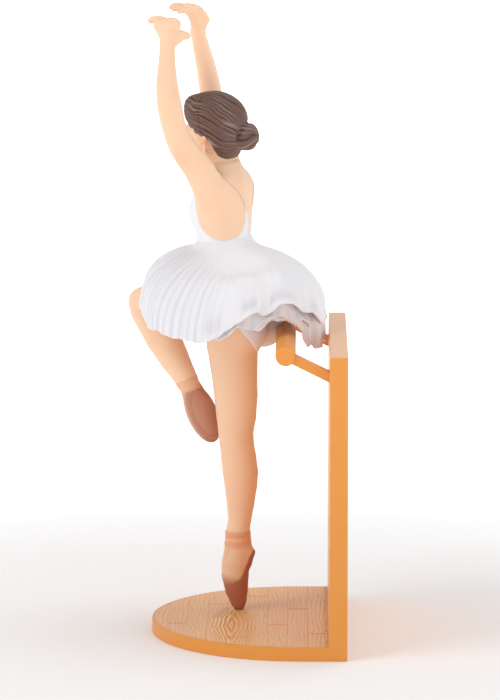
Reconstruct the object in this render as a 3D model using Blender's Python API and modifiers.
"""Ballerina figurine on pointe at a moulded barre stand.

Frame: metres, +Z up.  The origin is on the underside of the stand, in its
plane of symmetry.  The floor's rounded end and the dancer's front face -Y,
the upright wall is at +Y, and the dancer's left side faces +X.
Working sizes below are millimetres and are scaled to metres at the end.
"""
import bpy
import bmesh
import numpy as np
from math import sin, cos, pi, radians, sqrt
from mathutils import Matrix, Vector

for ob in list(bpy.data.objects):
    bpy.data.objects.remove(ob, do_unlink=True)

MM = 0.001

# ---------------------------------------------------------------- stand sizes
DEPTH = 53.0            # across the stand, along X
TIP_Y = -17.7           # front of the rounded floor
WALL_OUT_Y = 17.6       # outer face of the wall
WALL_T = 3.15           # wall thickness
FLOOR_T = 2.4           # floor thickness
WALL_H = 54.4           # wall height above the underside
ARC_CY = 8.85           # where the rounded end starts
EDGE_R = 0.35           # softened moulding edges
ROD_Y = 6.6             # barre axis
ROD_Z = 53.85
ROD_R = 1.8
ROD_HALF = 22.5         # half length of the barre
BRACKET_X = 20.75       # brackets are symmetric
BRACKET_T = 1.65        # bracket strut thickness
BRACKET_FOOT_Z = 49.9   # where a strut meets the wall

# --------------------------------------------------------------- figure sizes
YAW = radians(28.0)                      # dancer turned away from +X
FRONT = np.array([-sin(YAW), -cos(YAW), 0.0])
LEFT = np.array([cos(YAW), -sin(YAW), 0.0])
UP = np.array([0.0, 0.0, 1.0])
TOE_GAP = 0.2                            # toe to floor, separate mouldings
CLEAR = 0.3                              # skirt to barre

TUTU_C = (-5.2, -2.85)                   # centre of the skirt in plan
TUTU_R = 17.0
TUTU_TOP = 70.2                          # where the skirt leaves the waist


# ------------------------------------------------------------ distance shapes
def round_cone(P, a, b, ra, rb):
    """Signed distance from points P to a cone with rounded ends."""
    a = np.asarray(a, float)
    b = np.asarray(b, float)
    ba = b - a
    l2 = ba @ ba
    rr = ra - rb
    a2 = l2 - rr * rr
    il2 = 1.0 / l2
    pa = P - a
    y = pa @ ba
    z = y - l2
    w = pa * l2 - np.outer(y, ba)
    x2 = (w * w).sum(1)
    y2 = y * y * l2
    z2 = z * z * l2
    k = np.sign(rr) * rr * rr * x2
    mid = (np.sqrt(np.maximum(x2 * a2 * il2, 0)) + y * rr) * il2 - ra
    end_b = np.sqrt(x2 + z2) * il2 - rb
    end_a = np.sqrt(x2 + y2) * il2 - ra
    m1 = np.sign(z) * a2 * z2 > k
    m2 = np.sign(y) * a2 * y2 < k
    return np.where(m1, end_b, np.where(m2, end_a, mid))


def ellipsoid(P, c, axes, radii):
    """Signed distance from P to an ellipsoid; axes are its rows of unit vectors."""
    q = (P - np.asarray(c, float)) @ np.asarray(axes, float).T
    r = np.asarray(radii, float)
    k0 = np.sqrt(((q / r) ** 2).sum(1))
    k1 = np.sqrt(((q / (r * r)) ** 2).sum(1))
    return k0 * (k0 - 1.0) / np.maximum(k1, 1e-9)


def smin(a, b, k):
    h = np.maximum(k - np.abs(a - b), 0.0) / k
    return np.minimum(a, b) - h * h * k * 0.25


def smooth_row(x, xs, ys):
    """Smooth curve through rows of sizes (Catmull-Rom in one variable)."""
    xs = np.asarray(xs, float)
    ys = np.asarray(ys, float)
    m = np.gradient(ys, xs)
    x = np.clip(x, xs[0], xs[-1])
    i = np.clip(np.searchsorted(xs, x) - 1, 0, len(xs) - 2)
    h = xs[i + 1] - xs[i]
    t = (x - xs[i]) / h
    t2, t3 = t * t, t * t * t
    return ((2 * t3 - 3 * t2 + 1) * ys[i] + (t3 - 2 * t2 + t) * h * m[i]
            + (-2 * t3 + 3 * t2) * ys[i + 1] + (t3 - t2) * h * m[i + 1])


# ------------------------------------------------------------------ the limbs
# each limb is a chain of (centre, radius)
STANDING_LEG = [((-1.9, -3.5, 58.5), 4.9), ((-2.9, -3.1, 52.0), 4.65),
                ((-3.5, -2.7, 46.2), 4.15), ((-3.9, -2.47, 42.5), 3.95),
                ((-4.2, -2.4, 38.8), 3.62), ((-4.4, -2.5, 36.0), 3.22),
                ((-4.6, -2.35, 33.6), 3.12), ((-4.8, -2.0, 30.8), 3.2),
                ((-5.0, -1.68, 28.2), 3.22), ((-5.1, -1.6, 25.9), 2.98),
                ((-5.2, -1.66, 22.6), 2.52), ((-5.3, -1.8, 19.5), 2.1),
                ((-5.4, -2.15, 17.2), 1.98)]
STANDING_FOOT = [((-5.4, -2.15, 17.2), 1.98), ((-5.5, -2.35, 14.4), 2.15),
                 ((-5.6, -2.6, 11.4), 2.4), ((-5.7, -2.7, 8.9), 2.3),
                 ((-5.75, -2.4, 6.2), 1.85), ((-5.8, -2.1, 4.3), 1.3),
                 ((-5.8, -1.98, 3.45), 0.85)]
STANDING_HEEL = [((-5.5, -1.7, 15.6), 1.5), ((-5.6, -0.35, 13.2), 1.15),
                 ((-5.6, -0.9, 11.4), 1.1)]
RAISED_LEG = [((-8.9, 0.2, 58.6), 5.2), ((-13.2, -8.5, 59.2), 4.4),
              ((-17.0, -15.8, 58.4), 3.6), ((-19.4, -19.7, 57.3), 2.85),
              ((-19.0, -19.3, 55.6), 2.75), ((-16.3, -16.1, 51.3), 3.25),
              ((-13.6, -14.0, 47.9), 2.75), ((-10.9, -12.0, 45.0), 2.15),
              ((-9.6, -10.9, 43.0), 1.9)]
RAISED_FOOT_C = (-9.0, -8.75, 38.4)      # middle of the raised shoe
RAISED_FOOT_D = (0.04, 0.40, -0.915)     # heel to toe
RAISED_SOLE_N = (0.90, 0.38, 0.20)       # the sole looks this way
RAISED_FOOT_R = (2.0, 2.75, 5.7)         # half thickness, width, length
ARM_L = [((-0.6, -7.2, 80.6), 2.9), ((0.9, -9.1, 84.4), 2.7), ((2.7, -11.8, 88.4), 2.42),
         ((4.1, -13.35, 92.2), 2.15), ((4.85, -14.1, 95.8), 2.2),
         ((3.6, -14.6, 99.4), 1.95), ((0.8, -14.7, 103.2), 1.55),
         ((-1.7, -14.7, 106.3), 1.3)]
ARM_R = [((-12.0, -3.6, 80.4), 2.6), ((-13.3, -4.3, 84.0), 2.45),
         ((-15.6, -5.8, 89.8), 2.2), ((-17.2, -7.0, 95.2), 2.05),
         ((-16.9, -7.4, 97.4), 2.0), ((-15.1, -8.0, 101.0), 1.8),
         ((-12.6, -8.9, 105.2), 1.5), ((-10.9, -9.4, 107.9), 1.3)]
HAND_L = [((-1.7, -14.7, 106.3), 1.35), ((-2.8, -14.3, 108.2), 1.6),
          ((-3.8, -14.8, 109.7), 1.6), ((-5.1, -15.9, 110.6), 1.0),
          ((-5.8, -17.6, 110.7), 0.7)]
THUMB_L = [((-2.4, -14.0, 107.4), 0.8), ((-3.4, -12.2, 108.0), 0.62),
           ((-4.0, -11.0, 107.7), 0.5)]
HAND_R = [((-10.9, -9.4, 107.9), 1.35), ((-9.9, -9.3, 110.2), 1.6),
          ((-8.9, -10.2, 111.9), 1.35), ((-7.8, -12.3, 112.8), 0.95),
          ((-6.9, -14.0, 112.7), 0.68)]
THUMB_R = [((-10.2, -9.1, 109.2), 0.8), ((-9.1, -7.9, 110.0), 0.6),
           ((-8.4, -7.7, 111.0), 0.5)]
NECK = [((-6.3, -4.6, 80.5), 3.2), ((-6.5, -4.8, 84.0), 2.75), ((-6.7, -5.3, 88.0), 2.7)]

# torso rows: height, centre x, centre y, half width, half depth front, back
TORSO = [(52.5, -5.6, -1.2, 4.5, 3.6, 4.4), (55.0, -5.6, -1.4, 7.2, 4.6, 5.4),
         (58.0, -5.6, -1.7, 8.3, 5.1, 5.9), (61.5, -5.7, -2.2, 8.3, 5.1, 5.7),
         (65.0, -5.8, -3.2, 7.1, 4.7, 4.9), (68.5, -5.9, -4.1, 6.1, 4.4, 4.3),
         (71.5, -6.0, -4.5, 5.9, 4.8, 4.4), (75.0, -6.1, -4.8, 6.6, 5.1, 4.8),
         (78.5, -6.2, -4.8, 7.1, 4.7, 4.7), (81.0, -6.3, -4.7, 6.9, 3.9, 4.1),
         (83.2, -6.4, -4.6, 5.4, 3.0, 3.2), (84.6, -6.4, -4.5, 3.4, 2.2, 2.4)]

HEAD_TILT = radians(8.0)
HEAD_YAW = radians(28.0)
HEAD_F = np.array([-sin(HEAD_YAW) * cos(HEAD_TILT), -cos(HEAD_YAW) * cos(HEAD_TILT), sin(HEAD_TILT)])
HEAD_L = np.array([cos(HEAD_YAW), -sin(HEAD_YAW), 0.0])
HEAD_U = np.cross(HEAD_F, HEAD_L) * -1.0
HEAD_U = HEAD_U if HEAD_U[2] > 0 else -HEAD_U
HEAD_C = np.array([-6.8, -6.1, 91.6])
HEAD_AXES = np.array([HEAD_L, HEAD_F, HEAD_U])


def hp(left, front, up):
    """A point in the head's own frame."""
    return HEAD_C + HEAD_L * left + HEAD_F * front + HEAD_U * up


BUN_C = np.array([-5.4, -0.9, 89.6])
BUN_R = 2.75


def raised_foot_axes():
    """Rows: out of the sole, across the foot, along the foot."""
    d = np.array(RAISED_FOOT_D) / np.linalg.norm(RAISED_FOOT_D)
    n = np.array(RAISED_SOLE_N) - d * np.dot(RAISED_SOLE_N, d)
    n = n / np.linalg.norm(n)
    return np.array([n, np.cross(d, n), d])


def torso_distance(P):
    rows = np.array(TORSO)
    z = P[:, 2]
    cx, cy, a, bf, bb = [smooth_row(z, rows[:, 0], rows[:, j]) for j in range(1, 6)]
    dx = P[:, 0] - cx
    dy = P[:, 1] - cy
    u = dx * LEFT[0] + dy * LEFT[1]
    w = dx * FRONT[0] + dy * FRONT[1]
    b = np.where(w > 0, bf, bb)
    k0 = np.sqrt((u / a) ** 2 + (w / b) ** 2 + 1e-9)
    d = (k0 - 1.0) * np.minimum(a, b)
    cap = np.maximum(rows[0, 0] - z, z - rows[-1, 0])
    return np.maximum(d, cap)


def limb_distance(d, P, chain, k):
    """Blend a limb, which keeps its own radii, into the body."""
    limb = None
    for (a, ra), (b, rb) in zip(chain[:-1], chain[1:]):
        c = round_cone(P, a, b, ra, rb)
        limb = c if limb is None else smin(limb, c, 0.12)
    return smin(d, limb, k)


def body_distance(P):
    """Skin, leotard and shoes as one smooth body."""
    d = torso_distance(P)
    # chest
    for s in (1, -1):
        c = np.array([-6.1, -4.8, 75.9]) + FRONT * 3.0 + LEFT * (s * 2.8)
        d = smin(d, ellipsoid(P, c, [LEFT, FRONT, UP], (2.3, 2.0, 2.4)), 1.2)
        c = np.array([-5.6, -1.2, 55.2]) - FRONT * 2.3 + LEFT * (s * 3.6)
        d = smin(d, ellipsoid(P, c, [LEFT, FRONT, UP], (4.0, 3.7, 4.2)), 1.5)
        c = np.array([-6.2, -4.9, 79.6]) - FRONT * 2.3 + LEFT * (s * 3.6)
        d = smin(d, ellipsoid(P, c, [LEFT, FRONT, UP], (2.3, 1.5, 3.1)), 1.2)
    d = limb_distance(d, P, NECK, 1.6)
    d = limb_distance(d, P, ARM_L, 1.3)
    d = limb_distance(d, P, ARM_R, 1.3)
    d = limb_distance(d, P, STANDING_LEG, 1.4)
    d = limb_distance(d, P, RAISED_LEG, 1.3)
    d = limb_distance(d, P, STANDING_FOOT, 0.8)
    d = limb_distance(d, P, STANDING_HEEL, 0.9)
    d = smin(d, ellipsoid(P, RAISED_FOOT_C, raised_foot_axes(), RAISED_FOOT_R), 0.9)
    for chain in (HAND_L, HAND_R):
        d = limb_distance(d, P, chain, 0.5)
    for chain in (THUMB_L, THUMB_R):
        d = limb_distance(d, P, chain, 0.5)
    # head: skull, face and jaw
    d = smin(d, ellipsoid(P, hp(0, 0.1, 0.8), HEAD_AXES, (4.15, 5.1, 4.6)), 0.5)
    d = smin(d, ellipsoid(P, hp(0, 1.9, -1.9), HEAD_AXES, (3.2, 3.4, 4.0)), 1.4)
    d = smin(d, ellipsoid(P, hp(0, 3.3, -4.5), HEAD_AXES, (1.6, 1.5, 1.3)), 1.4)
    d = limb_distance(d, P, [(hp(0, 4.75, 0.0), 0.45), (hp(0, 5.55, -1.35), 0.55)], 0.7)
    return d


# lower edge of the hair in the head's frame: front position, height
HAIRLINE = [(-7.0, -6.8), (-3.0, -6.4), (-1.9, -5.1), (-1.4, -3.6), (-0.7, -2.6),
            (1.0, -2.1), (3.1, -0.9), (5.0, 0.4), (7.0, 1.5)]


def hair_distance(P):
    """Swept-back hair with a low bun, open for the face, ears and neck."""
    d = ellipsoid(P, hp(0, 0.0, 1.05), HEAD_AXES, (4.75, 5.95, 4.95))
    d = smin(d, ellipsoid(P, hp(0, -2.6, -1.6), HEAD_AXES, (3.9, 3.2, 3.4)), 1.0)
    d = smin(d, ellipsoid(P, hp(0, -2.9, -3.8), HEAD_AXES, (2.8, 2.1, 2.4)), 1.0)
    q = (P - HEAD_C) @ HEAD_AXES.T
    rows = np.array(HAIRLINE)
    low = smooth_row(q[:, 1], rows[:, 0], rows[:, 1]) - q[:, 2]
    face = 0.9 * (q[:, 1] - 4.0 - 0.28 * q[:, 2])
    d = np.maximum(d, 0.6 * np.maximum(low, face))
    b = ellipsoid(P, BUN_C, HEAD_AXES, (BUN_R, BUN_R * 0.92, BUN_R * 0.95))
    return smin(d, b, 0.35)


# ------------------------------------------------------------------- skirt
def ramp(x, a, b):
    t = np.clip((x - a) / (b - a), 0, 1)
    return t * t * (3 - 2 * t)


def a_between(a, b):
    """Angle from a to b, 0 to pi."""
    return np.abs((a - b + pi) % (2 * pi) - pi)


def over_thigh(th):
    """1 where the rim passes over the raised thigh."""
    return ramp(a_between(th, radians(-131)), radians(38), radians(14))


def tutu_profile(t, th):
    """Point of the skirt's top sheet: t from the waist (0) to the rim (1)."""
    left = np.clip(-np.sin(th), 0, 1)             # side over the raised thigh
    right = np.clip(np.sin(th), 0, 1)
    r0 = 5.0
    R = TUTU_R * (1 + 0.012 * np.cos(7 * th + 0.6) + 0.01 * np.sin(11 * th))
    n = 2.1 + 0.7 * left
    near = np.clip(np.cos(th), 0, 1)
    deep = ramp(a_between(th, radians(-42)), radians(75), radians(15))
    rim = 56.2 + 1.6 * right - 0.8 * left - 0.5 * near - 1.1 * deep + 6.0 * over_thigh(th)
    r = r0 + (R - r0) * t
    s = np.clip(r / (R * 1.004), 0, 1)
    z = rim + (TUTU_TOP - rim) * (1 - s ** n) ** (1 / n)
    return r, z


SHEET_EDGE = 0.55                         # rounding of a skirt layer's rim
LOW_R = 15.3                              # under layer's rim radius


def clear_of_stand(P):
    """Skirt points kept off the barre (from above or beside) and the wall."""
    P = P.copy()
    gap = ROD_R + 0.35
    dy = P[:, 1] - ROD_Y
    dz = P[:, 2] - ROD_Z
    rr = np.sqrt(dy * dy + dz * dz)
    inside = (rr < gap) & (np.abs(P[:, 0]) < ROD_HALF + 0.5)
    s = np.where(inside, gap / np.maximum(rr, 1e-6), 1.0)
    P[:, 1] = ROD_Y + dy * s
    P[:, 2] = ROD_Z + dz * s
    P[:, 1] = np.minimum(P[:, 1], WALL_OUT_Y - WALL_T - 0.3)
    return P


def skirt_ring(loop_fn, n_th, n_loop):
    """Closed ring: one closed profile loop for each angle round the waist."""
    th = np.linspace(0, 2 * pi, n_th, endpoint=False)
    pts = []
    for a in th:
        r, z = loop_fn(a, n_loop)
        x = TUTU_C[0] + r * cos(a)
        y = TUTU_C[1] + r * sin(a)
        pts.append(np.stack([x, y, z], -1))
    pts = np.concatenate(pts)
    m = len(pts) // n_th
    faces = []
    for i in range(n_th):
        j = (i + 1) % n_th
        for k in range(m):
            l = (k + 1) % m
            faces.append((i * m + k, j * m + k, j * m + l, i * m + l))
    return clear_of_stand(pts), faces


def wave(a, amp, n, ph):
    return amp * np.sin(n * a + ph)


def top_sheet(t, a):
    """Outer surface of the skirt with its rim's waves."""
    r, z = tutu_profile(t, a)
    z = z + ramp(t, 0.45, 1.0) * (wave(a, 0.5, 13, 0.4) + wave(a, 0.35, 21, 1.9))
    lift = 3.2 * ramp(a_between(a, radians(28)), radians(38), radians(14))
    return r, z + lift * ramp(t, 0.72, 1.0)


def upper_loop(a, n):
    """Top sheet out to its rim, round the edge, and back under it."""
    t = np.linspace(0.0, 1.0, n) ** 0.8
    r, z = top_sheet(t, a)
    tu = np.linspace(0.97, 0.0, n // 2)
    ru, zu = top_sheet(tu, a)
    zu = zu - 1.5 - 3.4 * (1 - tu) ** 2
    ru = ru * 0.965
    edge_r = (r[-1] + ru[0]) * 0.5 + 0.25
    edge_z = (z[-1] + zu[0]) * 0.5 - 0.2
    return (np.concatenate([r, [edge_r], ru]), np.concatenate([z, [edge_z], zu]))


def low_rim(a):
    """Height of the under layer's rim: it hangs deep behind the barre."""
    off = a_between(a, radians(90))
    behind = ramp(off, radians(35), radians(24))
    over = ramp(off, radians(92), radians(66)) * (1 - behind)
    deep = ramp(a_between(a, radians(-42)), radians(75), radians(15))
    return 55.3 - 3.5 * behind + 1.2 * over - 1.0 * deep + 5.6 * over_thigh(a)


def under_loop(a, n):
    """Under layer: a shorter ruffle that hangs from the inside of the top sheet."""
    off = a_between(a, radians(90))
    rb = LOW_R + 1.4 * ramp(off, radians(35), radians(24)) + wave(a, 0.3, 19, 0.3)
    bottom = low_rim(a) + wave(a, 0.25, 17, 0.9)

    def inside(r, drop):
        return top_sheet((r - 5.0) / (TUTU_R - 5.0), a)[1] - drop
    r0 = np.array([11.2, 12.6, 13.9])
    z0 = inside(r0, 0.85)
    t = np.linspace(0.15, 1.0, n)
    r1 = 13.9 + (rb - 13.9) * np.sin(t * pi / 2)
    z1 = z0[-1] + (bottom - z0[-1]) * t ** 1.25
    ti = np.linspace(1.0, 0.0, n)
    r2 = 12.3 + (rb - 1.35 - 12.3) * np.sin(ti * pi / 2)
    ztop = inside(np.array([12.3]), 1.6)[0] - 0.6
    z2 = ztop + (bottom + 0.2 - ztop) * ti ** 1.15
    return np.concatenate([r0, r1, r2, [11.2]]), np.concatenate([z0, z1, z2, inside(np.array([11.2]), 1.5)])


# --------------------------------------------------------------- mesh helpers
parts = bpy.data.collections.new("ballerina_figurine")
bpy.context.scene.collection.children.link(parts)
cutters = bpy.data.collections.new("cutters")
bpy.context.scene.collection.children.link(cutters)


def mesh_object(name, verts, faces, collection):
    me = bpy.data.meshes.new(name)
    me.from_pydata([tuple(v) for v in verts], [], faces)
    me.validate()
    ob = bpy.data.objects.new(name, me)
    collection.objects.link(ob)
    return ob


def outward(me):
    bm = bmesh.new()
    bm.from_mesh(me)
    bmesh.ops.recalc_face_normals(bm, faces=bm.faces[:])
    bm.to_mesh(me)
    bm.free()


def evaluated(ob):
    dg = bpy.context.evaluated_depsgraph_get()
    return bpy.data.meshes.new_from_object(ob.evaluated_get(dg))


def bake(ob):
    """Replace an object's mesh with its evaluated one."""
    me = evaluated(ob)
    ob.modifiers.clear()
    old = ob.data
    ob.data = me
    bpy.data.meshes.remove(old)


def unit_sphere(u, v):
    bm = bmesh.new()
    bmesh.ops.create_uvsphere(bm, u_segments=u, v_segments=v, radius=1.0)
    bm.verts.ensure_lookup_table()
    pts = np.array([p.co[:] for p in bm.verts])
    faces = [[p.index for p in f.verts] for f in bm.faces]
    bm.free()
    return pts, faces


class Heap:
    """Overlapping ellipsoids gathered into one mesh, to be united by a remesh."""

    def __init__(self):
        self.verts, self.faces, self.count = [], [], 0

    def ellipsoid(self, c, axes, radii, ball=unit_sphere(20, 12)):
        pts = (ball[0] * np.asarray(radii)) @ np.asarray(axes, float) + np.asarray(c, float)
        self.verts.append(pts)
        self.faces.extend([[k + self.count for k in f] for f in ball[1]])
        self.count += len(pts)

    def limb(self, chain, step=0.8):
        for (a, ra), (b, rb) in zip(chain[:-1], chain[1:]):
            a, b = np.array(a, float), np.array(b, float)
            n = max(1, int(np.linalg.norm(b - a) / (step * min(ra, rb))))
            for i in range(n + 1):
                t = i / n
                r = ra + (rb - ra) * t
                self.ellipsoid(a + (b - a) * t, np.eye(3), (r, r, r))

    def object(self, name):
        return mesh_object(name, np.concatenate(self.verts), self.faces, parts)


def first_form():
    """Rough closed forms of the whole body, to be united and then refined."""
    heap = Heap()
    for chain in (STANDING_LEG, STANDING_FOOT, STANDING_HEEL, RAISED_LEG,
                  ARM_L, ARM_R, HAND_L, HAND_R, THUMB_L, THUMB_R, NECK):
        heap.limb(chain)
    rows = np.array(TORSO)
    for z in np.arange(rows[0, 0], rows[-1, 0], 0.8):
        zz = np.array([z])
        cx, cy, a, bf, bb = [smooth_row(zz, rows[:, 0], rows[:, j])[0] for j in range(1, 6)]
        heap.ellipsoid((cx, cy, z), [LEFT, FRONT, UP], (a, 0.5 * (bf + bb), 1.2))
    heap.ellipsoid(RAISED_FOOT_C, raised_foot_axes(), RAISED_FOOT_R)
    heap.ellipsoid(hp(0, 0.1, 0.8), HEAD_AXES, (4.5, 5.3, 4.9))
    heap.ellipsoid(hp(0, 1.9, -1.9), HEAD_AXES, (3.2, 3.4, 4.0))
    heap.ellipsoid(hp(0, -2.6, -2.2), HEAD_AXES, (3.6, 3.0, 3.4))
    heap.ellipsoid(BUN_C, HEAD_AXES, (BUN_R,) * 3)
    return heap.object("first_form")


def figure_distance(P):
    return smin(body_distance(P), hair_distance(P), 0.25)


def refine(ob, fn, steps=6, limit=0.35):
    """Move every vertex onto the exact form."""
    me = ob.data
    n = len(me.vertices)
    co = np.empty(n * 3)
    me.vertices.foreach_get("co", co)
    V = co.reshape(n, 3)
    e = 0.04
    for _ in range(steps):
        f = fn(V)
        g = np.stack([fn(V + np.array(o)) - f for o in
                      ((e, 0, 0), (0, e, 0), (0, 0, e))], -1) / e
        s = np.clip(f / np.maximum((g * g).sum(1), 0.05), -limit, limit)
        V = V - g * s[:, None]
    me.vertices.foreach_set("co", V.reshape(-1))
    me.update()


def tidy(me):
    """Cut every face to triangles; a thin many-sided face is cut from its middle."""
    pairs = set()
    for _ in range(6):
        bm = bmesh.new()
        bm.from_mesh(me)
        thin = [f for f in bm.faces if len(f.verts) > 4
                and any(p <= {v.index for v in f.verts} for p in pairs)]
        bmesh.ops.poke(bm, faces=thin)
        bmesh.ops.triangulate(bm, faces=bm.faces[:])
        bmesh.ops.recalc_face_normals(bm, faces=bm.faces[:])
        folds = [e for e in bm.edges if not e.is_manifold]
        if not folds:
            break
        pairs |= {frozenset(v.index for v in e.verts) for e in folds}
        bm.free()
    bm.to_mesh(me)
    bm.free()


def keep_largest(me):
    """Drop crumbs left by the remesh or the union."""
    bm = bmesh.new()
    bm.from_mesh(me)
    bm.verts.ensure_lookup_table()
    seen, groups = set(), []
    for v in bm.verts:
        if v.index in seen:
            continue
        stack, group = [v], []
        seen.add(v.index)
        while stack:
            w = stack.pop()
            group.append(w)
            for e in w.link_edges:
                o = e.other_vert(w)
                if o.index not in seen:
                    seen.add(o.index)
                    stack.append(o)
        groups.append(group)
    groups.sort(key=len, reverse=True)
    crumbs = [v for g in groups[1:] for v in g]
    bmesh.ops.delete(bm, geom=crumbs, context="VERTS")
    bm.to_mesh(me)
    bm.free()


def toe_flat(me):
    """The toe platform is flat and just clear of the floor."""
    n = len(me.vertices)
    co = np.empty(n * 3)
    me.vertices.foreach_get("co", co)
    V = co.reshape(n, 3)
    V[:, 2] = np.maximum(V[:, 2], FLOOR_T + TOE_GAP)
    me.vertices.foreach_set("co", V.reshape(-1))
    me.update()


def remesh(ob, voxel):
    m = ob.modifiers.new("unite", "REMESH")
    m.mode = "VOXEL"
    m.voxel_size = voxel
    m.adaptivity = 0.0
    bake(ob)


def smooth(ob, factor, times):
    m = ob.modifiers.new("soften", "SMOOTH")
    m.factor = factor
    m.iterations = times
    bake(ob)


def unite(ob, other):
    m = ob.modifiers.new("union", "BOOLEAN")
    m.operation = "UNION"
    m.solver = "EXACT"
    m.object = other
    bake(ob)
    bpy.data.objects.remove(other, do_unlink=True)


def material(name, rgb, roughness):
    m = bpy.data.materials.new(name)
    m.use_nodes = True
    b = m.node_tree.nodes["Principled BSDF"]
    b.inputs["Base Color"].default_value = (*rgb, 1.0)
    b.inputs["Roughness"].default_value = roughness
    b.inputs["Metallic"].default_value = 0.0
    return m


# -------------------------------------------------------------------- dancer
VOXEL = 0.5
BODY_TRIANGLES = 3950
SKIRT_SEGMENTS = 78
UNDER_SEGMENTS = 66

dancer = first_form()
remesh(dancer, VOXEL)
keep_largest(dancer.data)
refine(dancer, figure_distance, steps=4)
smooth(dancer, 0.4, 1)
refine(dancer, figure_distance, steps=2)
facets = sum(len(p.vertices) - 2 for p in dancer.data.polygons)
d = dancer.modifiers.new("facets", "DECIMATE")
d.ratio = BODY_TRIANGLES / facets
bake(dancer)
toe_flat(dancer.data)

for label, loop, n_th, n_loop in (("skirt_top", upper_loop, SKIRT_SEGMENTS, 11), ("skirt_under", under_loop, UNDER_SEGMENTS, 4)):
    verts, faces = skirt_ring(loop, n_th, n_loop)
    ring = mesh_object(label, verts, faces, parts)
    outward(ring.data)
    unite(dancer, ring)
    tidy(dancer.data)

# groove under the skirt where the barre passes, with running room
bm = bmesh.new()
bmesh.ops.create_cone(bm, cap_ends=True, segments=20, radius1=ROD_R + CLEAR, radius2=ROD_R + CLEAR,
                      depth=2 * (ROD_HALF + 1.0),
                      matrix=Matrix.Translation((0, ROD_Y, ROD_Z)) @ Matrix.Rotation(pi / 2, 4, "Y"))
me = bpy.data.meshes.new("barre_groove")
bm.to_mesh(me)
bm.free()
groove = bpy.data.objects.new("barre_groove", me)
cutters.objects.link(groove)
groove.hide_render = True
groove.display_type = "WIRE"
cut = dancer.modifiers.new("groove", "BOOLEAN")
cut.operation = "DIFFERENCE"
cut.solver = "EXACT"
cut.object = groove
bake(dancer)
tidy(dancer.data)
bpy.data.objects.remove(groove, do_unlink=True)
keep_largest(dancer.data)
dancer.name = "dancer"
dancer.data.name = "dancer"


# --------------------------------------------------------------------- stand
def plan_outline(inset=0.0):
    """Rounded floor seen from above: half ellipse and straight sides."""
    a = DEPTH / 2 - inset
    b = ARC_CY - TIP_Y - inset
    pts = []
    for i in range(37):
        t = pi * i / 36
        pts.append((a * cos(t), ARC_CY - b * sin(t)))
    pts.append((-a, WALL_OUT_Y - inset))
    pts.append((a, WALL_OUT_Y - inset))
    return pts


def slab(name, outline, z0, z1):
    """Flat plate from a 2D outline."""
    cu = bpy.data.curves.new(name, "CURVE")
    cu.dimensions = "2D"
    cu.fill_mode = "BOTH"
    sp = cu.splines.new("POLY")
    sp.points.add(len(outline) - 1)
    for p, (x, y) in zip(sp.points, outline):
        p.co = (x, y, 0, 1)
    sp.use_cyclic_u = True
    cu.extrude = (z1 - z0) / 2
    ob = bpy.data.objects.new(name, cu)
    parts.objects.link(ob)
    bpy.context.view_layer.update()
    me = evaluated(ob)
    bpy.data.objects.remove(ob, do_unlink=True)
    me.transform(Matrix.Translation((0, 0, (z0 + z1) / 2)))
    bm = bmesh.new()
    bm.from_mesh(me)
    bmesh.ops.remove_doubles(bm, verts=bm.verts[:], dist=1e-4)
    bmesh.ops.recalc_face_normals(bm, faces=bm.faces[:])
    bm.to_mesh(me)
    bm.free()
    ob = bpy.data.objects.new(name, me)
    parts.objects.link(ob)
    return ob


def block(name, x0, x1, y0, y1, z0, z1):
    bm = bmesh.new()
    bmesh.ops.create_cube(bm, size=1.0)
    bmesh.ops.scale(bm, verts=bm.verts[:], vec=(x1 - x0, y1 - y0, z1 - z0))
    bmesh.ops.translate(bm, verts=bm.verts[:], vec=((x0 + x1) / 2, (y0 + y1) / 2, (z0 + z1) / 2))
    me = bpy.data.meshes.new(name)
    bm.to_mesh(me)
    bm.free()
    ob = bpy.data.objects.new(name, me)
    parts.objects.link(ob)
    return ob


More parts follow.
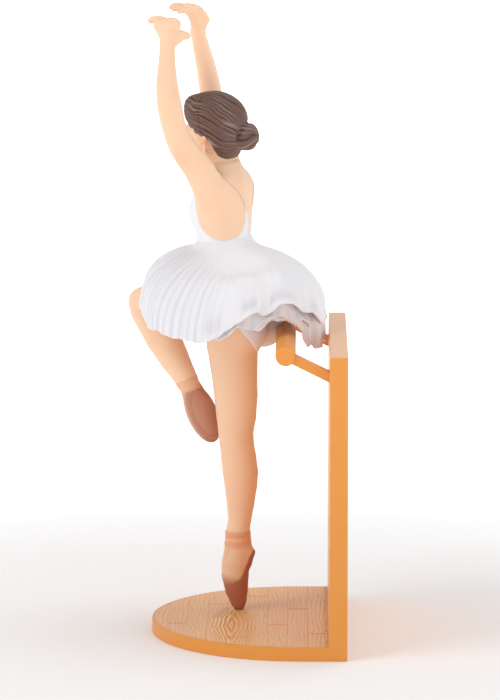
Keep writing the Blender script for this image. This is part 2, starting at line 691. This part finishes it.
def bevel(ob, width, segments=2, angle=radians(40)):
    m = ob.modifiers.new("edges", "BEVEL")
    m.width = width
    m.segments = segments
    m.limit_method = "ANGLE"
    m.angle_limit = angle
    bake(ob)


def strut(x):
    """Bracket: a flat bar sloping from the barre down to the wall."""
    y0, z0 = ROD_Y + 0.4, ROD_Z - 0.2
    y1, z1 = WALL_OUT_Y - WALL_T + 0.8, BRACKET_FOOT_Z - 0.35
    length = sqrt((y1 - y0) ** 2 + (z1 - z0) ** 2)
    ob = block("strut", -BRACKET_T * 0.75, BRACKET_T * 0.75, 0, length, -BRACKET_T / 2, BRACKET_T / 2)
    ang = np.arctan2(z1 - z0, y1 - y0)
    ob.data.transform(Matrix.Translation((x, y0, z0)) @ Matrix.Rotation(ang, 4, "X"))
    return ob


stand = slab("barre_stand", plan_outline(), 0.0, FLOOR_T)
wall = block("wall", -DEPTH / 2, DEPTH / 2, WALL_OUT_Y - WALL_T, WALL_OUT_Y, 0.0, WALL_H)
unite(stand, wall)
bevel(stand, EDGE_R, 2)

bm = bmesh.new()
bmesh.ops.create_cone(bm, cap_ends=True, segments=24, radius1=ROD_R, radius2=ROD_R,
                      depth=ROD_HALF * 2,
                      matrix=Matrix.Translation((0, ROD_Y, ROD_Z)) @ Matrix.Rotation(pi / 2, 4, "Y"))
me = bpy.data.meshes.new("barre")
bm.to_mesh(me)
bm.free()
barre = bpy.data.objects.new("barre", me)
parts.objects.link(barre)
bevel(barre, 0.25, 2)
for x in (BRACKET_X, -BRACKET_X):
    unite(barre, strut(x))
unite(stand, barre)
tidy(stand.data)
stand.name = "barre_stand"
stand.data.name = "barre_stand"

# ---------------------------------------------------------- scale and finish
skin = material("painted_figure", (0.90, 0.62, 0.44), 0.45)
timber = material("moulded_stand", (0.84, 0.42, 0.12), 0.42)
for ob, mat in ((dancer, skin), (stand, timber)):
    ob.data.transform(Matrix.Scale(MM, 4))
    ob.data.materials.clear()
    ob.data.materials.append(mat)
    ob.data.shade_smooth()
    ob.data.set_sharp_from_angle(angle=radians(35))
